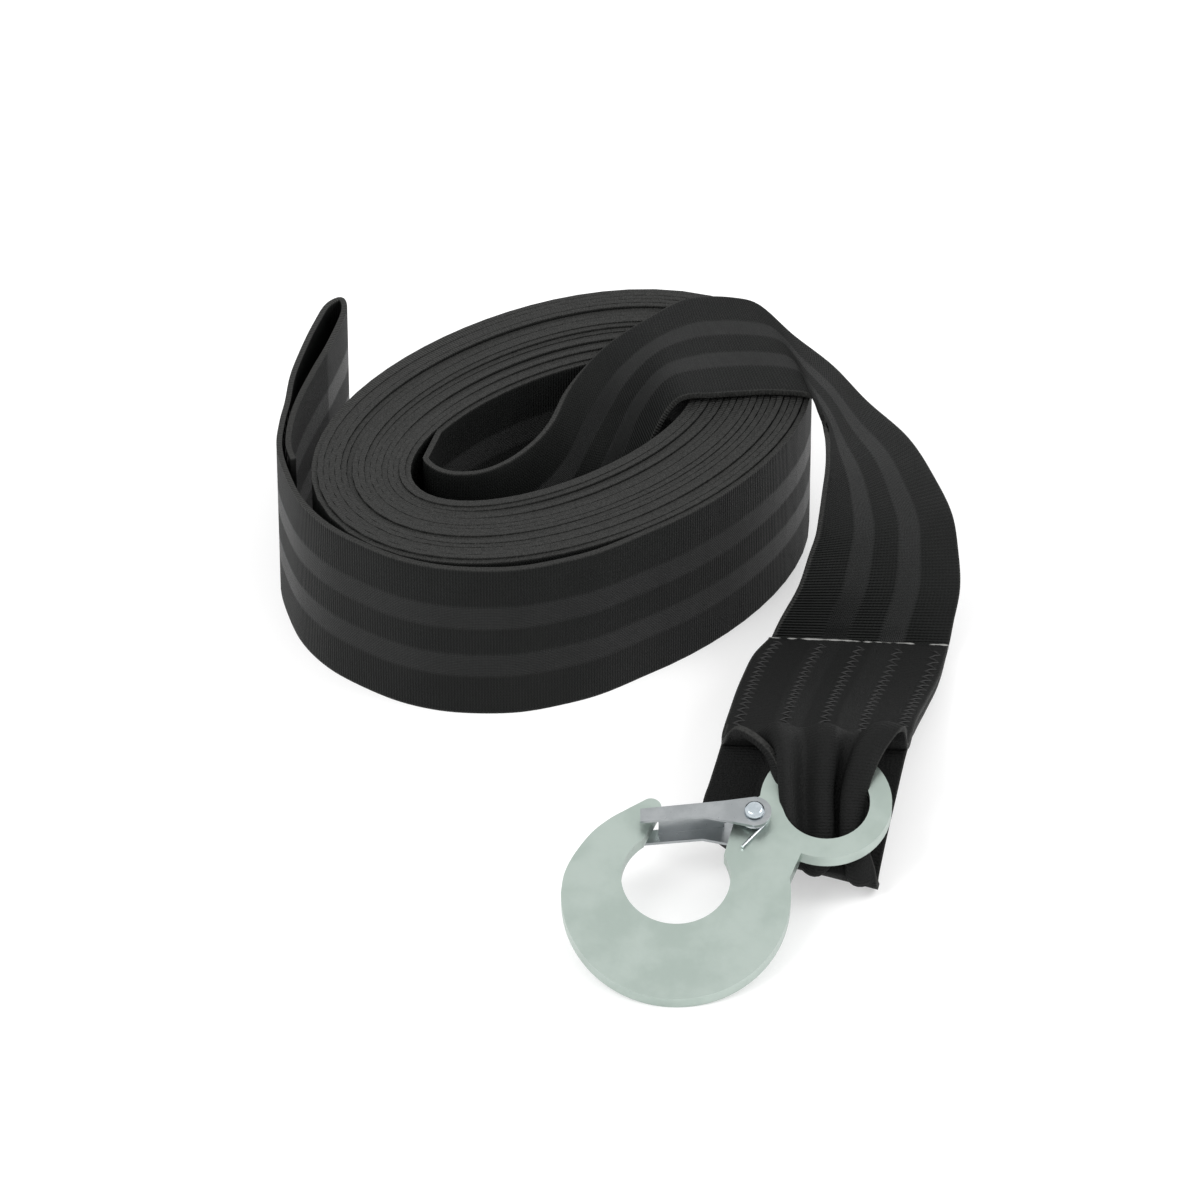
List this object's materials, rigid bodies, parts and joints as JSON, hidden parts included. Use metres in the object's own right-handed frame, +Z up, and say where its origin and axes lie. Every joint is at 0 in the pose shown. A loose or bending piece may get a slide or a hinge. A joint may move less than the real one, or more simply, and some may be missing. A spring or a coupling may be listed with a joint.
{
  "type": "webbing winch strap with snap hook",
  "caption": "Flat webbing strap for a trailer winch, wound into an oval coil, with a drum loop at one end and a sewn-in flat snap hook at the other.",
  "frame": {"origin": "on the floor, under the middle of the whole part's box", "axes": "+X to the right of the coil as seen from the hook's side, +Y from the hook to the coil, +Z up; the coil stands on its selvedges"},
  "size_m": [0.1946, 0.2692, 0.0558],
  "materials": {
    "webbing": "woven, two satin stripes",
    "zinc_plate": "zinc plated, satin",
    "latch_steel": "zinc plated sheet",
    "rivet_steel": "zinc plated, bright",
    "spring_steel": "drawn wire"
  },
  "bodies": {
    "strap": {"webbing_coil": "webbing", "webbing_hook_end": "webbing", "webbing_drum_end": "webbing", "hook_plate": "zinc_plate", "latch_rivet": "rivet_steel", "latch_spring": "spring_steel"},
    "latch": {"latch": "latch_steel"}
  },
  "joints": [
    {"name": "latch_hinge", "type": "hinge", "parent": "strap", "child": "latch", "pos_m": [0.03672, -0.08099, 0.02182], "axis": [0, -0.3486, 0.9373], "range_deg": [0, 42], "stiffness_Nm_per_rad": 0.02, "springref_deg": -34.38}
  ]
}
